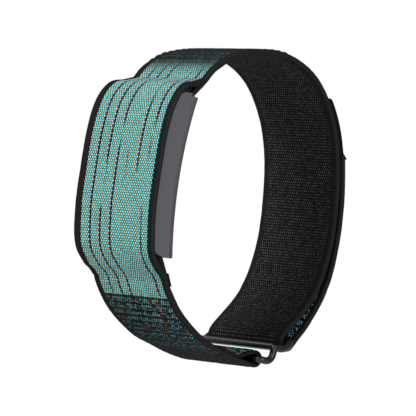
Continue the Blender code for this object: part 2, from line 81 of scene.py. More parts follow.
# The edge's outline, from the outside in: distance from the edge, share of the half thickness, share of RIM
RIM_PROFILE = ((0.0, 0.22, 0.0), (0.10, 0.62, 0.0), (0.30, 0.90, 0.5), (0.6, 1.0, 1.0),
               (BORDER - 0.35, 1.0, 1.0), (BORDER - 0.08, 1.0, 0.4), (BORDER + 0.1, 1.0, 0.0))
FIELD_STRIPS = 14
SIDE_LOOK = 0.32                # width of the outermost strip, which has the edge's look
LOWER_T_AT, LOWER_T = (0.20, 0.50, 0.81, 0.85), (1.0, 0.72, 0.68, 0.5)      # the lower arm's thinning
ROUGH, ROUGH_SCALE = 0.035, 0.5                 # depth and scale of the faces' unevenness
SWAY, SWAY_SCALE, SWAY_SIDES = 0.03, 0.7, (9.7, 3.1)        # the same for each side's line
LOOP_MID_R, LOOP_W, LOOP_T, LOOP_HALF_GAP = 1.55, 18.4, 0.8, 30.0       # pin loops; the gap is in degrees
LOOP_S = 500.0                  # in s, beyond the fold-back, so a pin loop has its specks and ribs
UPPER_PIN, LOWER_PIN = (-21.4, 18.7), (-21.6, -10.9)
UPPER_PIN_GAP, LOWER_PIN_GAP = 55, -72          # direction of each loop's open side, in degrees
TURN_MID_R, SEWN_MID_R = 1.6, 1.4               # middle of the strap where it goes round a bar
SEWN_FROM, SEWN_TO = -80, 100                   # in degrees round the sewn bar
TURN_STEPS, LOOP_STEPS = 18, 60

# The cover over the pod, drawn out at its middle: shares of width and thickness, and millimetres
COVER_WIDER, COVER_THINNER, COVER_LOWER, COVER_CURL, CURL_POWER = 0.075, 0.22, 0.12, 0.45, 1.5
SWELL_RATE, SWELL_POWER = 5, 0.7                # fully drawn out a fifth of the way in from each end

# Crosswise ribs beyond the bright figure
RIB_PITCH, RIB_HEIGHT = 1.75, 0.36
RIB_START = 350.0               # added to s, so that ribs count up from beyond the strap's end
RIB_RISE = 3.0                  # length over which they reach their full height
RIB_POWER, RIB_MEAN = 0.7, 0.25 # form of a rib, and how far it is sunk into the strap
RIB_INSIDE = -0.2               # share of a rib's height that the wrist side has
RIM_RIPPLES, RIM_RIPPLES_LITTLE = 0.6, 0.1      # shares on the edges: over the wrist's top, and elsewhere
RIPPLES_FROM = -24.0            # in s, where the stronger ones begin

# Weave. Most pairs of numbers are where a smooth change begins and where it ends.
COLUMN_REPEAT = 2.08            # orange, cyan and lavender floats side by side
ROW_REPEAT = 1.04               # one float along a column, with its gap
WEAVE_START = (30.8, 300.0)     # added to u and s, so that columns and rows count up from beyond the strap
FLOAT_HALF = (0.255, 0.26)      # half width and half length of a float
FLOAT_RIM, SPECK_RIM = (1.06, 0.80), (0.95, 0.55)       # in half sizes, from outside to inside
ORANGE_SCARCE = 0.22            # how much less often orange shows among the specks
FLOAT_LEAST = 0.74              # brightness of the figure's floats where their chance number is 0
FIELD_SHIFT = 0.45              # the figured field lies a little to one side
FIELD_RIM = (-0.12, 0.02)       # from the border's line
WANDER_SCALE, WANDER = 0.12, 0.35               # how the columns stray sideways
RAGGED_SCALE, RAGGED = 1.3, 0.9                 # how the figure's ends stray
BRIGHT_TOP_AT, BRIGHT_LOW_AT = (-14.5, 27.5), (-15.75, -20.75)      # where the bright figure begins and ends
TOP_FADE_AND_SHADE, LOW_FADE = (-2.8, 3.6), (0.2, -0.2)   # in s from those two places; the top's long fade is partly the figure's own end and partly painted shade
SPECKS, SPECK_CHANCE = 0.52, (0.10, 0.85)       # brightness of the specks, and how chance brings them in
SPECKS_SLOPE = (0.85, 0.035)    # their level at the middle of the strap, and its change along u
BELOW_FADE = (26.0, 2.0)        # the specks below the figure, in s from its end
ABOVE_FADE, ABOVE_SHARE = (-10.0, -1.0), 0.24   # above the figure, in s from its top
FOLDED_FADE, FOLDED_SHARE = (-1.0, 1.0), 3.2    # on the fold-back, in s from its start
TURNED_FROM_END = 3.0           # they come back this far past the upper arm's end
TURNED_FADES, TURNED_SHARE_WITH_PAINTED_LIGHT = ((1.0, -1.0), (-24.0, -14.0)), 4.0     # and fade out again along the tail; their level there is raised far past the figure's: partly the weave's own specks, partly painted light against the shade between the layers
RIB_TROUGH_SHADE = ((0.02, 0.22), (0.99, 0.86))         # painted shade: the dark line in the trough between ribs, in shares of the pitch
SLIT_REPEAT, SLIT_START = COLUMN_REPEAT * 1.5, 30.2     # dark slits between columns, like WEAVE_START
SLIT_HALF = (0.10, 0.06)        # in shares of their repeat
SLIT_DRAWN = (0.5, 0.05, 1.0)   # the noise that picks the slits is drawn out along the strap
SLIT_CHANCE = (0.43, 0.52)      # level of that noise at which a slit shows
SLIT_LEFT, SLIT_LEFT_SHARE = (3.0, -3.0), 0.09  # what is added to it towards the left
SLIT_LEAST = 0.15               # how much of a slit shows beyond the figure
INNER_COLUMN, INNER_ROW = 0.66, 0.62            # repeats of the dots on the wrist side
INNER_START = (30.0, 300.0)
DOT_SHAPE, DOT_RIM, DOT_LEAST = (2.0, 1.6), (0.95, 0.35), 0.25      # each dot's form, and the darkest dot
CLOUD_SCALE, CLOUD_DETAIL, CLOUD_RIM, CLOUD_LEAST = 0.6, 3.0, (0.3, 0.7), 0.75      # patches of darker dots
INNER_RIM = (-0.3, 0.0)         # from the border's line
RIDGE_PITCH, RIDGE_SHARE = 0.55, 0.25           # fine crosswise ridges of the border and edge
WEAVE_DEPTH, DOT_DEPTH, RIDGE_DEPTH = 0.00012, 0.0001, 0.00001      # of the bump, in metres

# Colours
ORANGE, CYAN, LAVENDER = (1.0, 0.38, 0.07), (0.0, 1.0, 0.93), (0.22, 0.60, 0.95)
CHARCOAL, INK = (0.013, 0.014, 0.0145), (0.002, 0.002, 0.003)
BORDER_BLACK, INNER_BORDER_BLACK = (0.008, 0.008, 0.0085), (0.009, 0.009, 0.0095)
INNER_DARK, INNER_LIGHT = (0.004, 0.004, 0.0045), (0.100, 0.100, 0.103)
EDGE_DARK, EDGE_LIGHT = (0.007, 0.007, 0.0075), (0.012, 0.012, 0.0125)

# Tapes
FOLD_TAB = [(-18.64, -16.42), (-17.34, -18.87)]
FOLD_TAB_T = 0.24
TAB_LOW, TAB_HIGH = 14.7, 26.9  # heights between which the closing tab lies on the strap
TAB_GAP, TAB_W = 0.12, STRAP_W - 1.0
TAB_T, TAB_T_GROWS, TAB_TIP_SHARE = 1.15, 0.25, 0.10
TAB_LIP, TAB_LIP_SHARE = 0.95, 0.10
TAPE_EDGE = ((0.0, 0.0), (0.0, 0.5), (0.12, 0.85), (0.3, 1.0))      # distance in, share of the thickness
TAPE_STRIPS = 10

# Buckle and pod
BAR_SEWN, BAR_MIDDLE, BAR_FREE = (8.8, -30.1), (12.2, -27.0), (16.9, -25.2)
BAR_R, BAR_MIDDLE_R = 0.75, 0.8
RAIL_X, RAIL_R, RAIL_BULGES = 13.1, 0.78, (1.6, 0.9)
CORNER = 1.3                    # how far back from a corner its rounding begins
BAR_STEPS, RAIL_STEPS, CORNER_STEPS = 20, 16, 8
CAST_VOXEL, CAST_EASE, CAST_ROUNDS = 0.16, 0.5, 8       # grid that joins the rods, and its smoothing
BOW_CENTRE_Y, BOW_R, POD_MID = 72.3, 92.0, 3.9       # the pod's rear face is an arc about this centre
PLATE_FRONT, PLATE_FORWARD = 0.35, 0.24         # the plate's points this far past the arc go this far forward

# Camera and light
CAMERA_AZIMUTH, CAMERA_ELEVATION, CAMERA_ROLL = 49.8, -4.5, 9.2
CAMERA_DISTANCE, CAMERA_ASIDE = 0.698, -0.00063
SENSOR, LENS_PER_SENSOR = 36.0, 7.9327          # width in millimetres, and focal length over width
FLOOR_SIZE, FLOOR_Z = 4.0, -0.066
AMBIENT = 0.32
LIGHTS = (("key", (-0.15, -0.80, 0.55), 0.45, 11.0), ("side", (0.80, -0.15, 0.25), 0.5, 2.8),
          ("far", (-0.70, -0.28, 0.55), 0.35, 0.8))     # place, size and power


# ---------------------------------------------------------------- paths

def smooth_path(points, step=FINE_STEP, pieces=40):
    """An even walk along the smooth curve (Catmull-Rom) through the points."""
    pts = [Vector(p) for p in points]
    pts = [2 * pts[0] - pts[1], *pts, 2 * pts[-1] - pts[-2]]
    fine = []
    for a, b, c, d in zip(pts, pts[1:], pts[2:], pts[3:]):
        for i in range(pieces):
            t = i / pieces
            fine.append(0.5 * (2 * b + (c - a) * t + (2 * a - 5 * b + 4 * c - d) * t * t
                               + (3 * b - a - 3 * c + d) * t ** 3))
    fine.append(pts[-2])
    return even_walk(fine, step)


def even_walk(points, step):
    """The same line, with its points about one step apart."""
    length = sum((b - a).length for a, b in zip(points, points[1:]))
    count = max(1, round(length / step))
    pace, walked, result = length / count, 0.0, [points[0]]
    for a, b in zip(points, points[1:]):
        span = (b - a).length
        while len(result) < count and walked + span >= pace * len(result):
            result.append(a.lerp(b, (pace * len(result) - walked) / span))
        walked += span
    return result + [points[-1]]


def arc(centre, radius, start_deg, end_deg, count):
    angles = [math.radians(start_deg + (end_deg - start_deg) * i / count) for i in range(count + 1)]
    return [Vector((centre[0] + radius * math.cos(a), centre[1] + radius * math.sin(a))) for a in angles]


def along_at(path, i):
    """The direction in which the path runs at one of its points."""
    return (path[min(i + 1, len(path) - 1)] - path[max(i - 1, 0)]).normalized()


def normals(path, outward):
    return [Vector((-along.y, along.x)) * outward for along in (along_at(path, i) for i in range(len(path)))]


def lengths(path):
    total = [0.0]
    for a, b in zip(path, path[1:]):
        total.append(total[-1] + (b - a).length)
    return total


def nearest_length(path, point):
    """How far along the path its nearest point to the given one lies."""
    best = min(range(len(path)), key=lambda i: (path[i] - Vector(point)).length)
    return lengths(path)[best]


upper_path = smooth_path(UPPER_ARM)
cover_path = smooth_path(COVER)
sewn_turn = arc(BAR_SEWN, SEWN_MID_R, SEWN_FROM, SEWN_TO, TURN_STEPS)
lower_path = smooth_path(LOWER_ARM)[:-1] + sewn_turn + smooth_path(FOLD_BACK)[1:]

# Places along the strap, in s
upper_starts = nearest_length(upper_path, CREASE_ON_ARM)
lower_starts = nearest_length(cover_path, KINK_ON_COVER) - nearest_length(lower_path, KINK_ON_LOWER)
turn_starts = upper_starts - lengths(upper_path)[-1]
BRIGHT_TOP = upper_starts - nearest_length(upper_path, BRIGHT_TOP_AT)
BRIGHT_LOW = lower_starts + nearest_length(lower_path, BRIGHT_LOW_AT)
FOLDED_FROM = lower_starts + nearest_length(lower_path, FOLD_BACK[0])
TURNED_FROM = turn_starts - TURNED_FROM_END


# ---------------------------------------------------------------- materials

class Nodes:
    """Short calls for building a material's node tree."""

    def __init__(self, name):
        self.mat = bpy.data.materials.new(name)
        self.mat.use_nodes = True
        self.tree = self.mat.node_tree
        self.shader = self.tree.nodes["Principled BSDF"]

    def set(self, **values):
        for key, value in values.items():
            self.shader.inputs[key.replace("_", " ")].default_value = value

    def new(self, kind, **props):
        node = self.tree.nodes.new(kind)
        for key, value in props.items():
            setattr(node, key, value)
        return node

    def link(self, a, b):
        self.tree.links.new(a, b)

    def feed(self, socket, value):
        if isinstance(value, bpy.types.NodeSocket):
            self.link(value, socket)
        else:
            socket.default_value = value

    def math(self, operation, *values, clamp=False):
        node = self.new("ShaderNodeMath", operation=operation, use_clamp=clamp)
        for socket, value in zip(node.inputs, values):
            self.feed(socket, value)
        return node.outputs[0]

    def plus(self, a, b):
        return self.math("ADD", a, b)

    def minus(self, a, b):
        return self.math("SUBTRACT", a, b)

    def times(self, a, b):
        return self.math("MULTIPLY", a, b)

    def over(self, a, b):
        return self.math("DIVIDE", a, b)

    def floor(self, a):
        return self.math("FLOOR", a)

    def from_middle(self, a):
        """How far a count is past the middle of its repeat, from -0.5 to 0.5."""
        return self.minus(self.math("FRACT", a), 0.5)

    def size(self, a):
        return self.math("ABSOLUTE", a)

    def at_least(self, least, value):
        """From least to 1, as the value goes from 0 to 1."""
        return self.plus(least, self.times(value, 1.0 - least))

    def step(self, value, low, high):
        """0 below low, 1 above high, smooth between; low above high turns it round."""
        ends = (low, high, 0.0, 1.0) if low <= high else (high, low, 1.0, 0.0)
        node = self.new("ShaderNodeMapRange", interpolation_type="SMOOTHSTEP")
        self.feed(node.inputs[0], value)
        for socket, number in zip(node.inputs[1:5], ends):
            socket.default_value = number
        return node.outputs[0]

    def fade(self, value, origin, ends):
        """The same step, with its ends given from an origin."""
        return self.step(value, origin + ends[0], origin + ends[1])

    def mix(self, share, a, b):
        node = self.new("ShaderNodeMix", data_type="RGBA")
        self.feed(node.inputs[0], share)
        for socket, value in ((node.inputs[6], a), (node.inputs[7], b)):
            self.feed(socket, (*value, 1.0) if isinstance(value, tuple) else value)
        return node.outputs[2]

    def mix_heights(self, share, a, b):
        node = self.new("ShaderNodeMix", data_type="FLOAT")
        for socket, value in ((node.inputs[0], share), (node.inputs[2], a), (node.inputs[3], b)):
            self.feed(socket, value)
        return node.outputs[0]

    def cloth(self):
        """The place on the strap's own surface: as one vector, then u across and s along."""
        place = self.new("ShaderNodeAttribute", attribute_name="cloth").outputs["Vector"]
        split = self.new("ShaderNodeSeparateXYZ")
        self.link(place, split.inputs[0])
        return place, split.outputs[0], split.outputs[1]

    def noise(self, vector, scale, detail=2.0):
        node = self.new("ShaderNodeTexNoise")
        self.link(vector, node.inputs["Vector"])
        node.inputs["Scale"].default_value = scale
        node.inputs["Detail"].default_value = detail
        return node.outputs[0]

    def stray(self, vector, scale, reach):
        """A slow shift to either side of zero."""
        return self.times(self.minus(self.noise(vector, scale), 0.5), reach)

    def ridges(self, s):
        return self.math("SINE", self.times(s, 2 * math.pi / RIDGE_PITCH))

    def random(self, a, b):
        join = self.new("ShaderNodeCombineXYZ")
        self.feed(join.inputs[0], a)
        self.feed(join.inputs[1], b)
        node = self.new("ShaderNodeTexWhiteNoise", noise_dimensions="2D")
        self.link(join.outputs[0], node.inputs["Vector"])
        return node.outputs["Value"]

    def bump(self, height, distance):
        node = self.new("ShaderNodeBump")
        node.inputs["Strength"].default_value = 1.0
        node.inputs["Distance"].default_value = distance
        self.link(height, node.inputs["Height"])
        self.link(node.outputs[0], self.shader.inputs["Normal"])

    def colour(self, value):
        self.link(value, self.shader.inputs["Base Color"])


def floats(n, u, s, u_start, s_start):
    """One set of coloured thread floats: colour, mask, the mask of its speck, height and a chance number."""
    across = n.over(n.plus(u, u_start), COLUMN_REPEAT)
    third = n.times(n.math("FRACT", across), 3.0)
    index = n.floor(third)
    along = n.over(n.plus(s, s_start), ROW_REPEAT)
    x = n.times(n.from_middle(third), COLUMN_REPEAT / 3)
    y = n.times(n.from_middle(along), ROW_REPEAT)
    column = n.plus(n.times(n.floor(across), 3.0), index)
    chance = n.random(n.plus(column, u_start), n.floor(along))
    squares = [n.math("POWER", n.over(n.size(d), half), 2.0) for d, half in zip((x, y), FLOAT_HALF)]
    far = n.math("SQRT", n.plus(*squares))
    height = n.math("SQRT", n.minus(1.0, n.math("MINIMUM", n.times(far, far), 1.0)))
    is_orange = n.math("LESS_THAN", index, 0.5)
    cool = n.mix(n.math("GREATER_THAN", index, 1.5), CYAN, LAVENDER)
    colour = n.mix(is_orange, cool, ORANGE)
    scarce = n.minus(chance, n.times(is_orange, ORANGE_SCARCE))
    return colour, n.step(far, *FLOAT_RIM), n.step(far, *SPECK_RIM), height, scarce


def speck_level(n, u, s, crest_unshaded):
    """How bright the sparse specks are on each stretch of strap beyond the bright figure."""
    below = n.times(n.fade(s, BRIGHT_LOW, BELOW_FADE), n.math("GREATER_THAN", s, 0.0))
    above = n.times(n.times(n.fade(s, BRIGHT_TOP, ABOVE_FADE), ABOVE_SHARE), n.math("LESS_THAN", s, 0.0))
    folded = n.times(n.fade(s, FOLDED_FROM, FOLDED_FADE), FOLDED_SHARE)
    turned = n.times(*(n.fade(s, TURNED_FROM, ends) for ends in TURNED_FADES))
    level = n.math("MAXIMUM", n.math("MAXIMUM", below, above), folded)
    # Painted light: the tail's specks are brightened where the layers shade them.
    level = n.math("MAXIMUM", level, n.times(turned, TURNED_SHARE_WITH_PAINTED_LIGHT))
    middle, slope = SPECKS_SLOPE
    nearer = n.plus(middle, n.times(u, slope))
    # Painted shade: the specks are dimmed in the troughs between ribs.
    return n.times(n.times(level, crest_unshaded), n.times(nearer, SPECKS))


def slits(n, place, u, u_bent, bright):
    """Long dark lines between some of the columns, more of them on the left."""
    across = n.over(n.plus(u_bent, SLIT_START), SLIT_REPEAT)
    line = n.step(n.size(n.from_middle(across)), *SLIT_HALF)
    drawn = n.new("ShaderNodeMapping")
    n.link(place, drawn.inputs["Vector"])
    drawn.inputs["Scale"].default_value = SLIT_DRAWN
    leftward = n.times(n.step(u, *SLIT_LEFT), SLIT_LEFT_SHARE)
    chosen = n.step(n.plus(n.noise(drawn.outputs[0], 1.0), leftward), *SLIT_CHANCE)
    return n.times(n.times(line, chosen), n.at_least(SLIT_LEAST, bright))


def webbing_outer():
    """Lengthwise colour floats over black: dense and bright over the pod, sparse specks on ribs beyond."""
    n = Nodes("webbing_outer")
    place, u, s = n.cloth()
    u_bent = n.plus(u, n.stray(place, WANDER_SCALE, WANDER))
    s_ragged = n.plus(s, n.stray(place, RAGGED_SCALE, RAGGED))
    # The figure is the weave's own; its slow fade at the top is partly painted shade.
    bright = n.times(n.fade(s_ragged, BRIGHT_TOP, TOP_FADE_AND_SHADE), n.fade(s_ragged, BRIGHT_LOW, LOW_FADE))
    # Painted shade: the troughs between ribs are painted ink instead of charcoal, and their specks are
    # dimmer.
    rib = n.math("FRACT", n.over(n.plus(s, RIB_START), RIB_PITCH))
    crest_unshaded = n.times(*(n.step(rib, *ends) for ends in RIB_TROUGH_SHADE))
    speck = speck_level(n, u, s, crest_unshaded)

    colour, heights = n.mix(bright, n.mix(crest_unshaded, INK, CHARCOAL), INK), []
    for shift in (0.0, 0.5):
        starts = (start + shift * repeat for start, repeat in zip(WEAVE_START, (COLUMN_REPEAT, ROW_REPEAT)))
        float_colour, mask, core, height, chance = floats(n, u_bent, s, *starts)
        dim = n.times(n.times(speck, n.step(chance, *SPECK_CHANCE)), core)
        shine = n.times(n.at_least(FLOAT_LEAST, chance), mask)
        lit = n.math("ADD", n.times(bright, shine), n.times(n.minus(1.0, bright), dim), clamp=True)
        colour = n.mix(lit, colour, float_colour)
        heights.append(n.times(mask, height))
    colour = n.mix(slits(n, place, u, u_bent, bright), colour, INK)

    edge = n.fade(n.size(n.minus(u, FIELD_SHIFT)), HALF_W - BORDER, FIELD_RIM)
    n.colour(n.mix(edge, colour, BORDER_BLACK))
    ridges = n.times(n.ridges(s), RIDGE_SHARE)
    n.bump(n.mix_heights(edge, n.math("MAXIMUM", *heights), ridges), WEAVE_DEPTH)
    n.set(Roughness=0.8, Specular_IOR_Level=0.04)
    return n.mat


def webbing_inner():
    """The wrist side: black yarn with fine crosswise rows of dark grey dots."""
    n = Nodes("webbing_inner")
    place, u, s = n.cloth()
    u_start, s_start = INNER_START
    row = n.over(n.plus(s, s_start), INNER_ROW)
    every_other = n.times(n.math("MODULO", n.floor(row), 2.0), 0.5)
    column = n.plus(n.over(n.plus(u, u_start), INNER_COLUMN), every_other)
    sides = [n.times(n.size(n.from_middle(count)), share) for count, share in zip((column, row), DOT_SHAPE)]
    dot = n.step(n.plus(*sides), *DOT_RIM)
    chance = n.random(n.floor(column), n.floor(row))
    cloud = n.step(n.noise(place, CLOUD_SCALE, CLOUD_DETAIL), *CLOUD_RIM)
    level = n.times(n.times(dot, n.at_least(DOT_LEAST, chance)), n.at_least(CLOUD_LEAST, cloud))
    edge = n.fade(n.size(u), HALF_W - BORDER, INNER_RIM)
    n.colour(n.mix(edge, n.mix(level, INNER_DARK, INNER_LIGHT), INNER_BORDER_BLACK))
    n.bump(n.times(dot, n.minus(1.0, edge)), DOT_DEPTH)
    n.set(Roughness=0.85, Specular_IOR_Level=0.06)
    return n.mat


def webbing_edge():
    """The woven edge: black yarn with fine crosswise ridges."""
    n = Nodes("webbing_edge")
    place, _, s = n.cloth()
    n.colour(n.mix(n.noise(place, 0.8), EDGE_DARK, EDGE_LIGHT))
    n.bump(n.ridges(s), RIDGE_DEPTH)
    n.set(Roughness=0.7, Specular_IOR_Level=0.14)
    return n.mat


def plain(name, low, high, scale, roughness, metallic=0.0, bump=0.00002, specular=0.5):
    """A moulded, cast or coated finish: a fine mottled colour and a slight grain."""
    n = Nodes(name)
    grain = n.noise(n.new("ShaderNodeTexCoord").outputs["Object"], scale, 3.0)
    n.colour(n.mix(grain, low, high))
    if bump:
        n.bump(grain, bump)
    n.set(Metallic=metallic, Roughness=roughness, Specular_IOR_Level=specular)
    return n.mat


# Darkest and lightest colour, grain per metre, roughness, metallic, depth of the grain, specular level
PLAIN = {
    "black_tape": ((0.002, 0.002, 0.002), (0.004, 0.004, 0.004), 900, 0.6, 0.0, 0.00002, 0.08),
    "hook_tape": ((0.004, 0.004, 0.004), (0.03, 0.03, 0.03), 4000, 0.8, 0.0, 0.0001),
    "gunmetal": ((0.035, 0.035, 0.038), (0.05, 0.05, 0.053), 600, 0.20, 0.8, 0.000002),
    "pod_grey": ((0.088, 0.090, 0.099), (0.096, 0.098, 0.107), 2600, 0.5, 0.0, 0.000012),
    "plate_grey": ((0.050, 0.052, 0.062), (0.057, 0.059, 0.069), 2600, 0.42, 0.0, 0.000008),
    "gasket_rubber": ((0.015, 0.015, 0.015), (0.025, 0.025, 0.025), 1500, 0.85),
    "dark_glass": ((0.004, 0.004, 0.005), (0.007, 0.007, 0.009), 200, 0.06, 0.0, 0.0),
    "led_lens": ((0.40, 0.72, 0.40), (0.50, 0.80, 0.50), 900, 0.2),
    "black_plastic": ((0.012, 0.012, 0.012), (0.02, 0.02, 0.02), 1800, 0.45),
    "board_green": ((0.008, 0.10, 0.04), (0.014, 0.15, 0.06), 700, 0.4),
    "battery_foil": ((0.50, 0.51, 0.53), (0.60, 0.61, 0.63), 500, 0.35, 1.0),
    "steel": ((0.50, 0.50, 0.51), (0.60, 0.60, 0.61), 900, 0.28, 1.0, 0.000005),
    "tungsten": ((0.26, 0.26, 0.27), (0.34, 0.34, 0.35), 900, 0.42, 1.0, 0.000005),
    "gold": ((0.76, 0.56, 0.22), (0.84, 0.63, 0.28), 800, 0.25, 1.0, 0.000004),
    "floor_paper": ((0.84, 0.84, 0.84), (0.88, 0.88, 0.88), 30, 0.9, 0.0, 0.0),
}
looks = {"webbing_outer": webbing_outer(), "webbing_inner": webbing_inner(), "webbing_edge": webbing_edge()}
looks.update({name: plain(name, *finish) for name, finish in PLAIN.items()})


# ---------------------------------------------------------------- strap and tapes

def add_object(name, mesh):
    obj = bpy.data.objects.new(name, mesh)
    bpy.context.scene.collection.objects.link(obj)
    return obj


def cross_section(half, thickness):
    """Half of a strap's outline: (u, height) from one edge, over the outer face, to the other."""
    h = thickness / 2
    edge = [(-half + inward, body * h + lift * RIM) for inward, body, lift in RIM_PROFILE]
    inner_half = -edge[-1][0]
    field = [(-inner_half + 2 * inner_half * i / FIELD_STRIPS, h) for i in range(1, FIELD_STRIPS)]
    return edge + field + [(-u, v) for u, v in edge[::-1]]


def rib_height(s):
    """Crosswise ribs beyond the bright figure, in millimetres."""
    beyond = max(BRIGHT_TOP - s, s - BRIGHT_LOW)
    strength = min(max(beyond / RIB_RISE, 0.0), 1.0)
    wave = 0.5 + 0.5 * math.cos(2 * math.pi * ((s + RIB_START) / RIB_PITCH - 0.5))
    return RIB_HEIGHT * strength * (wave ** RIB_POWER - RIB_MEAN)


def no_swell(share):
    return 0.0


def full_thickness(share):
    return 1.0


def lower_thickness(share):
    """The lower arm grows thinner towards the buckle, and the piece folded back over it is thinner still."""
    return float(np.interp(share, LOWER_T_AT, LOWER_T))


def cover_swell(share):
    """How far the cover is drawn out and back round the pod's front edges, from 0 at its ends to 1."""
    return min(1.0, SWELL_RATE * share, SWELL_RATE * (1 - share)) ** SWELL_POWER


def swept(name, path, sides, loop, keys, place_of, cloth_of, look_of):
    """A closed cross-section carried along a path. place_of gives a point's place across the path and its
    height out from it."""
    verts, cloth = [], []
    for i, (p, n) in enumerate(zip(path, sides)):
        for j in range(len(loop)):
            across, out = place_of(i, j)
            place = p + n * out
            verts.append((across * MM, place.x * MM, place.y * MM))
            cloth.append(cloth_of(i, j))
    size = len(loop)
    faces, slots = [], []
    for i in range(len(path) - 1):
        for j in range(size):
            k = (j + 1) % size
            faces.append((i * size + j, i * size + k, (i + 1) * size + k, (i + 1) * size + j))
            slots.append(look_of(j))
    last = (len(path) - 1) * size
    faces += [tuple(range(size)), tuple(range(last, last + size))[::-1]]
    slots += [len(keys) - 1] * 2
    mesh = bpy.data.meshes.new(name)
    mesh.from_pydata(verts, [], faces)
    for key in keys:
        mesh.materials.append(looks[key])
    mesh.polygons.foreach_set("material_index", slots)
    layer = mesh.attributes.new("cloth", "FLOAT_VECTOR", "POINT")
    layer.data.foreach_set("vector", np.array(cloth, np.float32).ravel())
    bm = bmesh.new()
    bm.from_mesh(mesh)
    bmesh.ops.recalc_face_normals(bm, faces=bm.faces)
    bm.to_mesh(mesh)
    bm.free()
    obj = add_object(name, mesh)
    mesh.shade_smooth()
    return obj


def strap(name, path, outward, s_at_start, s_direction, width=STRAP_W, thickness=STRAP_T, swell=no_swell,
          thinning=full_thickness):
    """A woven layer along a middle line. outward is +1 where the figured face lies to the left of the way the
    path runs, and -1 where it lies to the right."""
    half = width / 2
    section = cross_section(half, thickness)
    loop = section + [(u, -v) for u, v in section[::-1]]
    top = len(section)
    size = len(loop)
    measure = [s_at_start + s_direction * d for d in lengths(path)]

    def place_of(i, j):
        (u, h), s = loop[j], measure[i]
        share = i / (len(path) - 1)
        drawn, slim = swell(share), thinning(share)
        on_rim, outer = abs(u) >= half - BORDER, h > 0
        ripples = RIM_RIPPLES if RIPPLES_FROM < s < BRIGHT_TOP + 1.0 else RIM_RIPPLES_LITTLE
        rib = rib_height(s) * slim * (ripples if on_rim else 1) * (1 if outer else RIB_INSIDE)
        rough = ROUGH * noise.noise(Vector((u * ROUGH_SCALE, s * ROUGH_SCALE, h)))
        curl = COVER_CURL * drawn * max(0.0, (u - half + BORDER) / BORDER) ** CURL_POWER
        sway = SWAY * noise.noise(Vector((s * SWAY_SCALE, SWAY_SIDES[u > 0], 0)))
        body = h * slim * (1 - COVER_THINNER * drawn)
        return u * (1 + COVER_WIDER * drawn) + sway, body + rib + rough - curl - COVER_LOWER * drawn

    def cloth_of(i, j):
        return loop[j][0] * HALF_W / half, measure[i], 1.0 if j < top else -1.0

    def look_of(j):
        middle_u = (loop[j][0] + loop[(j + 1) % size][0]) / 2
        if abs(middle_u) > half - SIDE_LOOK or j in (top - 1, size - 1):
            return 2
        return 0 if j < top else 1

    return swept(name, path, normals(path, outward), loop, ("webbing_outer", "webbing_inner", "webbing_edge"),
                 place_of, cloth_of, look_of)


def tape(name, path, outward, width, thickness_at):
    """Black tape, smooth outside, with the thickness given at each share of its length, out from its path."""
    half = width / 2
    edge = [(-half + inward, share) for inward, share in TAPE_EDGE]
    inner_half = -edge[-1][0]
    top = edge + [(-inner_half + 2 * inner_half * i / TAPE_STRIPS, 1.0) for i in range(1, TAPE_STRIPS)]
    top += [(-u, v) for u, v in edge[::-1]]
    loop = top + [(u, 0.0) for u, _ in top[-2:0:-1]]

    def place_of(i, j):
        return loop[j][0], loop[j][1] * thickness_at(i / (len(path) - 1))

    def cloth_of(i, j):
        return loop[j][0], i * FINE_STEP, 1.0

    def look_of(j):
        return 0 if j < len(top) - 1 else 1

    return swept(name, path, normals(path, outward), loop, ("black_tape", "hook_tape"),
                 place_of, cloth_of, look_of)


def turn_path():
    """Down the inner side of the free bar, round it, and up its outer side to the tail."""
    bar = Vector(BAR_FREE)
    angle = math.degrees(math.atan2(OUT_STRAP.y, OUT_STRAP.x))
    beside_bar = bar - OUT_STRAP * TURN_MID_R
    inner_leg = smooth_path([upper_path[-2], upper_path[-1], beside_bar + UP_STRAP * 1.0, beside_bar])[1:]
    round_bar = arc(BAR_FREE, TURN_MID_R, angle - 180, angle, TURN_STEPS)
    outer_leg = smooth_path([round_bar[-1], TAIL[0]])
    return even_walk(inner_leg[:-1] + round_bar + outer_leg[1:], FINE_STEP)


def make_strap():
    upper = strap("strap_upper", upper_path, 1, upper_starts, -1)
    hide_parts("upper_arm")
    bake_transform(upper)
    cover = strap("strap_cover", cover_path, -1, 0.0, 1, swell=cover_swell)
    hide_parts("cover_panel")
    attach(cover, "band")
    lower = strap("strap_lower", lower_path, -1, lower_starts, 1, thinning=lower_thickness)
    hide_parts("lower_arm")
    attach(lower, "band")

    turn_line = turn_path()
    turn = strap("strap_turn_woven", turn_line, 1, turn_starts, -1)
    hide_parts("strap_turn")
    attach(turn, "buckle")
    tail = strap("strap_tail_woven", smooth_path(TAIL), 1, turn_starts - lengths(turn_line)[-1], -1)
    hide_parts("strap_tail")
    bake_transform(tail)

    for name, pin, gap in (("upper", UPPER_PIN, UPPER_PIN_GAP), ("lower", LOWER_PIN, LOWER_PIN_GAP)):
        round_pin = arc(pin, LOOP_MID_R, gap + LOOP_HALF_GAP, gap + 360 - LOOP_HALF_GAP, LOOP_STEPS)
        loop = strap(f"{name}_loop_woven", even_walk(round_pin, FINE_STEP), 1, LOOP_S, 1, LOOP_W, LOOP_T)
        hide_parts(f"{name}_pin_loop")
        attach(loop, "band")


def tab_thickness(share):
    """Round at the tip, slowly thicker along the tab, then a thin lip that stands out at its lower end."""
    tip = math.sqrt(max(0.02, 1 - (1 - min(share / TAB_TIP_SHARE, 1.0)) ** 2))
    lip = TAB_LIP * max(0.0, (share - 1 + TAB_LIP_SHARE) / TAB_LIP_SHARE)
    return TAB_T * tip + TAB_T_GROWS * share + lip


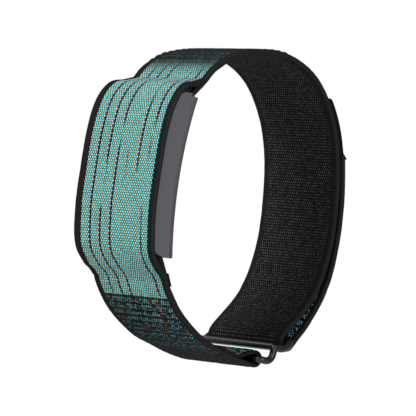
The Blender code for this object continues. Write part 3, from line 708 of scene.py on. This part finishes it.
def make_tapes():
    fold = tape("fold_tab_tape", smooth_path(FOLD_TAB), 1, STRAP_W, lambda share: FOLD_TAB_T)
    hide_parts("lower_fold_tab")
    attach(fold, "band")

    lift = STRAP_T / 2 + TAB_GAP
    line = [p + n * lift for p, n in zip(upper_path, normals(upper_path, 1))
            if p.x > 0 and TAB_LOW < p.y < TAB_HIGH]
    tab = tape("tab_tape", line, 1, TAB_W, tab_thickness)
    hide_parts("tail_tab")
    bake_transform(tab)


# ---------------------------------------------------------------- pod plate and buckle

def make_plate():
    """The pod's rear plate, its front side brought forward so that only a hairline seam shows."""
    source = frame["nodes"]["rear_cover"]
    plate = add_object("rear_plate_closed", source.data.copy())
    for v in plate.data.vertices:
        radius = math.hypot(v.co.y - BOW_CENTRE_Y * MM, v.co.z - POD_MID * MM)
        if radius > (BOW_R + PLATE_FRONT) * MM:
            v.co.y -= PLATE_FORWARD * MM
    plate.data.materials.clear()
    plate.data.materials.append(looks["plate_grey"])
    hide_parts("rear_cover")
    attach(plate, "band")


def tube(bm, points, radius, sides=24):
    """A closed round rod through the points, in millimetres."""
    rings = []
    for i, p in enumerate(points):
        along = along_at(points, i)
        across = along.cross(Vector((0, 0, 1)) if abs(along.z) < 0.9 else Vector((1, 0, 0))).normalized()
        if rings:
            across = (last_across - along * last_across.dot(along)).normalized()
        last_across, up = across, along.cross(across)
        rings.append([bm.verts.new((p + (across * math.cos(a) + up * math.sin(a)) * radius) * MM)
                      for a in (2 * math.pi * k / sides for k in range(sides))])
    for a, b in zip(rings, rings[1:]):
        for k in range(sides):
            bm.faces.new((a[k], a[(k + 1) % sides], b[(k + 1) % sides], b[k]))
    bm.faces.new(rings[0][::-1])
    bm.faces.new(rings[-1])


def rail_line(bars):
    """One rail's line from bar to bar, swelling outwards between them."""
    line = [bars[0]]
    for a, b, bulge in zip(bars, bars[1:], RAIL_BULGES):
        out = Vector(((b - a).y, -(b - a).x)).normalized()
        shares = [i / RAIL_STEPS for i in range(1, RAIL_STEPS + 1)]
        line += [a.lerp(b, t) + out * bulge * math.sin(math.pi * t) for t in shares]
    return line


def buckle_rods(bm):
    """The bars, the rails and the rounded corners between them, each as a rod."""
    bars = [Vector(b) for b in (BAR_SEWN, BAR_MIDDLE, BAR_FREE)]
    short = RAIL_X - CORNER
    for bar, radius, reach in zip(bars, (BAR_R, BAR_MIDDLE_R, BAR_R), (short, RAIL_X, short)):
        steps = range(-BAR_STEPS, BAR_STEPS + 1)
        tube(bm, [Vector((x * reach / BAR_STEPS, bar.x, bar.y)) for x in steps], radius)
    line = rail_line(bars)
    between = [p for p in line if min((p - bars[0]).length, (p - bars[2]).length) >= CORNER]
    by_middle = [p for p in line if (p - bars[1]).length >= CORNER and p.y < bars[1].y][-1]
    shares = [t / CORNER_STEPS for t in range(CORNER_STEPS + 1)]
    for side in (-1, 1):
        tube(bm, [Vector((side * RAIL_X, p.x, p.y)) for p in between], RAIL_R)
        for bar, rail in zip(bars, (between[0], by_middle, between[-1])):
            start, corner = (Vector((side * x, bar.x, bar.y)) for x in (short, RAIL_X))
            end = Vector((side * RAIL_X, rail.x, rail.y))
            tube(bm, [start.lerp(corner, t).lerp(corner.lerp(end, t), t) for t in shares], RAIL_R)


def make_buckle():
    """One casting: the bars and wavy rails run into one another without a seam."""
    bm = bmesh.new()
    buckle_rods(bm)
    mesh = bpy.data.meshes.new("buckle_cast")
    bm.to_mesh(mesh)
    bm.free()
    buckle = add_object("buckle_cast", mesh)
    mesh.materials.append(looks["gunmetal"])
    mesh.shade_smooth()
    skin = buckle.modifiers.new("skin", "REMESH")
    skin.mode = "VOXEL"
    skin.voxel_size = CAST_VOXEL * MM
    skin.use_smooth_shade = True
    ease = buckle.modifiers.new("ease", "SMOOTH")
    ease.factor, ease.iterations = CAST_EASE, CAST_ROUNDS
    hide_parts("buckle_frame")
    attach(buckle, "buckle")


def dress_cad_nodes():
    """Gives each CAD node its slot's look, and the webbing ones, which are all replaced, the edge's."""
    slots = {part["node"]: part["material_slot"] for part in frame["record"]["subparts"]}
    for node, obj in frame["nodes"].items():
        slot = slots[node]
        obj.data.materials.clear()
        obj.data.materials.append(looks["webbing_edge" if slot == "webbing" else slot])


# ---------------------------------------------------------------- camera and light

def make_camera():
    azimuth, elevation, roll = (math.radians(a) for a in (CAMERA_AZIMUTH, CAMERA_ELEVATION, CAMERA_ROLL))
    back = Vector((math.sin(azimuth) * math.cos(elevation), -math.cos(azimuth) * math.cos(elevation),
                   math.sin(elevation)))
    right = Vector((math.cos(azimuth), math.sin(azimuth), 0))
    up = back.cross(right)
    right, up = (right * math.cos(roll) + up * math.sin(roll), up * math.cos(roll) - right * math.sin(roll))
    camera = bpy.data.objects.new("camera", bpy.data.cameras.new("camera"))
    place = Matrix((right, up, back)).transposed().to_4x4()
    place.translation = right * CAMERA_ASIDE + back * CAMERA_DISTANCE
    camera.matrix_world = place
    camera.data.sensor_width = SENSOR
    camera.data.lens = SENSOR * LENS_PER_SENSOR
    camera.data.clip_start = 0.01
    bpy.context.scene.collection.objects.link(camera)
    bpy.context.scene.camera = camera


def make_floor():
    bpy.ops.mesh.primitive_plane_add(size=FLOOR_SIZE, location=(0, 0, FLOOR_Z))
    floor = bpy.context.object
    floor.name = "floor"
    floor.data.materials.append(looks["floor_paper"])


def make_world():
    """A white backdrop, a softer share of it as light, and colours shown as they are."""
    world = bpy.data.worlds.new("studio")
    bpy.context.scene.world = world
    world.use_nodes = True
    tree = world.node_tree
    background = tree.nodes["Background"]
    background.inputs["Color"].default_value = (1, 1, 1, 1)
    seen = tree.nodes.new("ShaderNodeMapRange")
    seen.inputs["To Min"].default_value, seen.inputs["To Max"].default_value = AMBIENT, 1.0
    tree.links.new(tree.nodes.new("ShaderNodeLightPath").outputs["Is Camera Ray"], seen.inputs["Value"])
    tree.links.new(seen.outputs[0], background.inputs["Strength"])
    bpy.context.scene.view_settings.view_transform = "Standard"


def make_lights():
    for name, place, size, power in LIGHTS:
        light = bpy.data.objects.new(name, bpy.data.lights.new(name, "AREA"))
        light.data.energy = power
        light.data.size = size
        light.location = place
        light.rotation_euler = (-Vector(place)).to_track_quat("-Z", "Y").to_euler()
        bpy.context.scene.collection.objects.link(light)


make_camera()
make_floor()
make_world()
make_lights()
dress_cad_nodes()
make_strap()
make_tapes()
make_plate()
make_buckle()
